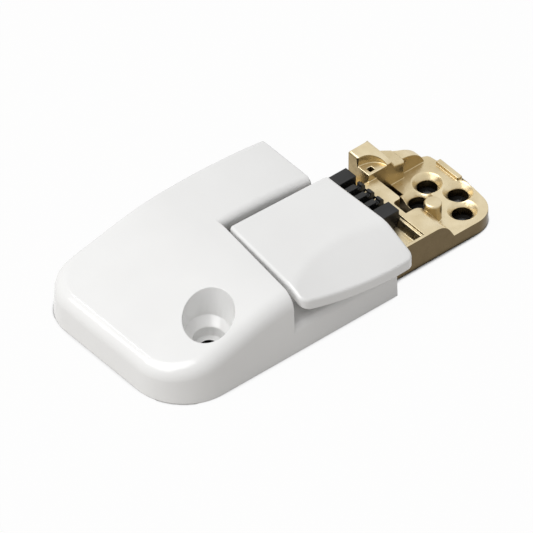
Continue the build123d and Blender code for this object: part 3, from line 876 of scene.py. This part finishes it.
@dataclass
class GuideComb(Piece):
    """Plastic comb beside the lever: a row of notched ribs between two plain blocks on a base."""

    node: str = "guide_comb"
    body: Body = Body.BASE
    slot: Slot = Slot.BLACK_PLASTIC
    left: float = 19.8 * MM
    right: float = 29.7 * MM
    near: float = -13.6 * MM
    seat: float = 4.0 * MM
    base_top: float = 8.0 * MM
    top: float = 11.5 * MM
    base_right: float = 28.2 * MM
    near_block: float = 4.2 * MM
    far_block: float = 4.0 * MM
    first_rib: float = -7.7 * MM
    rib_width: float = 1.7 * MM
    pitch: float = 3.6 * MM
    ribs: int = 3
    chamfer: float = 0.7 * MM
    notch_left: float = 2.4 * MM
    notch_right: float = 1.4 * MM
    notch_depth: float = 0.9 * MM
    edge: float = 0.12 * MM
    edge_segments: int = 2
    tuck: float = 0.03 * MM
    weld: float = 0.003 * MM

    @property
    def far(self) -> float:
        """Y of the far end of the comb."""
        return self.first_rib + self.ribs * self.pitch + self.far_block

    def rib_profile(self) -> List[Pair]:
        """Outline of a rib in X and Z, with a notch in its top and a chamfered nose."""
        left = self.left + self.tuck
        seat = self.seat + self.tuck
        bottom = self.top - self.notch_depth
        return [
            (left, seat), (self.right, seat),
            (self.right, self.top - self.chamfer), (self.right - self.chamfer, self.top),
            (self.right - self.notch_right, self.top), (self.right - self.notch_right, bottom),
            (self.right - self.notch_left, bottom), (self.right - self.notch_left, self.top),
            (left, self.top),
        ]

    def box_profile(self, right: float, top: float) -> List[Pair]:
        """Plain outline in X and Z that starts at the comb's left end and seat."""
        return [(self.left, self.seat), (right, self.seat), (right, top), (self.left, top)]

    def bar(self, name: str, outline: Sequence[Pair], start: float, end: float) -> bpy.types.Object:
        """Solid bar along Y with soft edges.

        Args:
            name: Name of the bar.
            outline: Its outline in X and Z.
            start: Y of its near end.
            end: Y of its far end.

        Returns:
            The bar as an object.
        """
        sheet = bmesh.new()
        face = sheet.faces.new([sheet.verts.new((x, start, z)) for x, z in outline])
        swept = bmesh.ops.extrude_face_region(sheet, geom=[face])
        moved = [item for item in swept["geom"] if isinstance(item, bmesh.types.BMVert)]
        bmesh.ops.translate(sheet, verts=moved, vec=(0.0, end - start, 0.0))
        bmesh.ops.recalc_face_normals(sheet, faces=sheet.faces)
        mesh = bpy.data.meshes.new(name)
        sheet.to_mesh(mesh)
        sheet.free()
        bar = bpy.data.objects.new(name, mesh)
        bpy.context.collection.objects.link(bar)
        bevel = bar.modifiers.new("edge", "BEVEL")
        bevel.width = self.edge
        bevel.segments = self.edge_segments
        bevel.limit_method = "ANGLE"
        settle(bar)
        return bar

    def shape(self, solid: bpy.types.Object, material: bpy.types.Material) -> bpy.types.Object:
        """Repeats the rib and merges it with the blocks and the base into one closed mesh.

        Args:
            solid: The solid's object; not used.
            material: The finish of the comb.

        Returns:
            The piece as an object.
        """
        rib = self.bar("rib", self.rib_profile(), 0.0, self.rib_width)
        block = self.box_profile(self.right, self.top)
        base = self.box_profile(self.base_right, self.base_top)
        bars = [
            self.bar("near_block", block, self.near, self.near + self.near_block),
            self.bar("far_block", block, self.far - self.far_block, self.far),
            self.bar("base", base, self.near + self.tuck, self.far - self.tuck),
        ]
        recipe = NodeRecipe("comb")
        offset = recipe.node("ShaderNodeCombineXYZ", Y=recipe.size("Pitch", self.pitch))
        row = recipe.node("GeometryNodeMeshLine", Count=recipe.size("Ribs", self.ribs, "NodeSocketInt"),
                          Start_Location=(0.0, self.first_rib, 0.0), Offset=offset.outputs["Vector"])
        spread = recipe.node("GeometryNodeInstanceOnPoints", Points=row.outputs["Mesh"],
                             Instance=recipe.copy_of(rib))
        merged = recipe.node("GeometryNodeMeshBoolean")
        merged.operation = "UNION"
        merged.solver = "MANIFOLD"
        for part in (spread.outputs["Instances"], *(recipe.copy_of(bar) for bar in bars)):
            recipe.tree.links.new(part, merged.inputs["Mesh 2"])
        welded = recipe.node("GeometryNodeMergeByDistance", Geometry=merged.outputs["Mesh"], Distance=self.weld)
        recipe.finish(welded.outputs["Geometry"], material)
        piece = recipe.bake(self.name)
        for bar in (rib, *bars):
            bpy.data.objects.remove(bar)
        return piece


@dataclass(frozen=True)
class Lamp:
    """Soft box that looks at the lock."""

    name: str
    place: Point
    size: float
    power: float
    target: Point = (0.0, 0.0, 0.0)

    def build(self) -> None:
        """Adds the lamp."""
        data = bpy.data.lights.new(self.name, "AREA")
        data.shape = "SQUARE"
        data.size = self.size
        data.energy = self.power
        lamp = bpy.data.objects.new(self.name, data)
        lamp.location = self.place
        lamp.rotation_euler = (Vector(self.target) - Vector(self.place)).to_track_quat("-Z", "Y").to_euler()
        bpy.context.collection.objects.link(lamp)


@dataclass
class Studio:
    """Pale floor, soft light and the camera at the photograph's angle."""

    azimuth: float = -40.0
    elevation: float = 42.3
    lens: float = 1081.6
    distance: float = 4.0
    target: Point = (-7.55 * MM, -6.25 * MM, 9.0 * MM)
    floor_half: float = 6.0
    floor_drop: float = 0.02 * MM
    floor_colour: Colour = (0.52, 0.5, 0.475)
    floor_glow: float = 0.97
    # Painted shadow: ambient occlusion darkens the floor's glow in the lock's holes and beside it.
    hole_reach: float = 5.0 * MM
    hole_open: Pair = (0.5, 0.6)
    hole_samples: int = 32
    footprint: Pair = (54.0 * MM, 26.5 * MM)
    contact_shade: float = 0.7
    ambient: float = 0.485
    sky: Colour = (1.0, 1.0, 1.0)
    lamps: Sequence[Lamp] = (
        Lamp("key", (-1.5, 0.5, 2.22), 2.3, 54.0),
        Lamp("rim", (-0.44, 1.47, 2.1), 0.16, 1.2),
    )

    def build(self) -> None:
        """Builds the stage."""
        self.floor()
        self.world()
        for lamp in self.lamps:
            lamp.build()
        self.camera()
        bpy.context.scene.view_settings.view_transform = "Standard"

    def seen(self, tree: bpy.types.NodeTree) -> bpy.types.NodeSocket:
        """Socket that is 1 for rays that show a background.

        Args:
            tree: The node tree to add to.

        Returns:
            The value socket.
        """
        path = tree.nodes.new("ShaderNodeLightPath")
        total = path.outputs["Is Camera Ray"]
        for name in ("Is Glossy Ray", "Is Transmission Ray"):
            total = reckon(tree, Sum.PLUS, total, path.outputs[name], clamp=True)
        return total

    def outside(self, tree: bpy.types.NodeTree) -> bpy.types.NodeSocket:
        """Socket that is 0 under the lock and the painted contact shade around it: the lowest glow that the
        painted shadow leaves.

        Args:
            tree: The node tree to add to.

        Returns:
            The value socket.
        """
        reach = tree.nodes.new("ShaderNodeVectorMath")
        reach.operation = "ABSOLUTE"
        tree.links.new(tree.nodes.new("ShaderNodeTexCoord").outputs["Object"], reach.inputs[0])
        past = [reckon(tree, Sum.IS_PAST, along(tree, reach.outputs["Vector"], axis), half)
                for axis, half in zip("XY", self.footprint)]
        return reckon(tree, Sum.TIMES, reckon(tree, Sum.LARGER, *past), self.contact_shade)

    def open_sky(self, tree: bpy.types.NodeTree) -> bpy.types.NodeSocket:
        """Socket that is 1 on open floor, a little less beside the lock and 0 at the bottom of its holes: a
        painted shadow, from ambient occlusion, that dims the floor's glow.

        Args:
            tree: The node tree to add to.

        Returns:
            The value socket.
        """
        shade = tree.nodes.new("ShaderNodeAmbientOcclusion")
        shade.samples = self.hole_samples
        shade.inputs["Distance"].default_value = self.hole_reach
        return mapped(tree, shade.outputs["AO"], self.hole_open, (self.outside(tree), 1.0))

    def paper(self) -> bpy.types.Material:
        """Material of the floor, which looks near white and still takes a faint shadow, with a painted shadow
        from ambient occlusion that darkens its glow in the lock's holes and beside it.

        Returns:
            The material.
        """
        material = bpy.data.materials.new("floor")
        material.use_nodes = True
        tree = material.node_tree
        tree.nodes.clear()
        output = tree.nodes.new("ShaderNodeOutputMaterial")
        matt = tree.nodes.new("ShaderNodeBsdfDiffuse")
        matt.inputs["Color"].default_value = rgba(self.floor_colour)
        glow = tree.nodes.new("ShaderNodeEmission")
        # Painted shadow: the glow's strength falls where ambient occlusion finds the lock near.
        tree.links.new(self.open_sky(tree), glow.inputs["Strength"])
        mix = tree.nodes.new("ShaderNodeMixShader")
        tree.links.new(reckon(tree, Sum.TIMES, self.seen(tree), self.floor_glow), mix.inputs["Fac"])
        tree.links.new(matt.outputs["BSDF"], mix.inputs[1])
        tree.links.new(glow.outputs["Emission"], mix.inputs[2])
        tree.links.new(mix.outputs["Shader"], output.inputs["Surface"])
        return material

    def floor(self) -> None:
        """Adds the floor."""
        half = self.floor_half
        corners = [(-half, -half, 0), (half, -half, 0), (half, half, 0), (-half, half, 0)]
        mesh = bpy.data.meshes.new("floor")
        mesh.from_pydata(corners, [], [(0, 1, 2, 3)])
        mesh.materials.append(self.paper())
        floor = bpy.data.objects.new("floor", mesh)
        floor.location.z = -self.floor_drop
        bpy.context.collection.objects.link(floor)

    def world(self) -> None:
        """Sets an even ambient light that shows as white."""
        world = bpy.data.worlds.new("studio")
        world.use_nodes = True
        tree = world.node_tree
        back = tree.nodes["Background"]
        back.inputs["Color"].default_value = rgba(self.sky)
        level = mapped(tree, self.seen(tree), (0.0, 1.0), (self.ambient, 1.0))
        tree.links.new(level, back.inputs["Strength"])
        bpy.context.scene.world = world

    def camera(self) -> None:
        """Adds the camera."""
        turn = math.radians(self.azimuth)
        lift = math.radians(self.elevation)
        back = Vector((math.sin(turn) * math.cos(lift), -math.cos(turn) * math.cos(lift), math.sin(lift)))
        data = bpy.data.cameras.new("camera")
        data.lens = self.lens
        camera = bpy.data.objects.new("camera", data)
        camera.location = Vector(self.target) + back * self.distance
        camera.rotation_euler = (-back).to_track_quat("-Z", "Y").to_euler()
        bpy.context.collection.objects.link(camera)
        bpy.context.scene.camera = camera


def main() -> None:
    """Builds the stage and dresses every piece."""
    logging.basicConfig(level=logging.INFO)
    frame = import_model()
    Studio().build()
    materials = finishes()
    assemblies: Sequence[Piece] = (
        CoverHousing(),
        FingerLever(),
        Chassis(),
        GuideComb(),
        SideBolt(),
        SmallSteel("lever_pin"),
        SmallSteel("bolt_plate"),
        SmallSteel("plate_screws"),
        SmallSteel("cover_screws"),
        LeverCrank(),
        PinClips(),
        CoilSpring(),
        LeverPads(),
    )
    for assembly in assemblies:
        piece = assembly.build(frame, materials[assembly.slot])
        LOG.info("piece %s: %d faces", piece.name, len(piece.data.polygons))


if __name__ == "__main__":
    main()
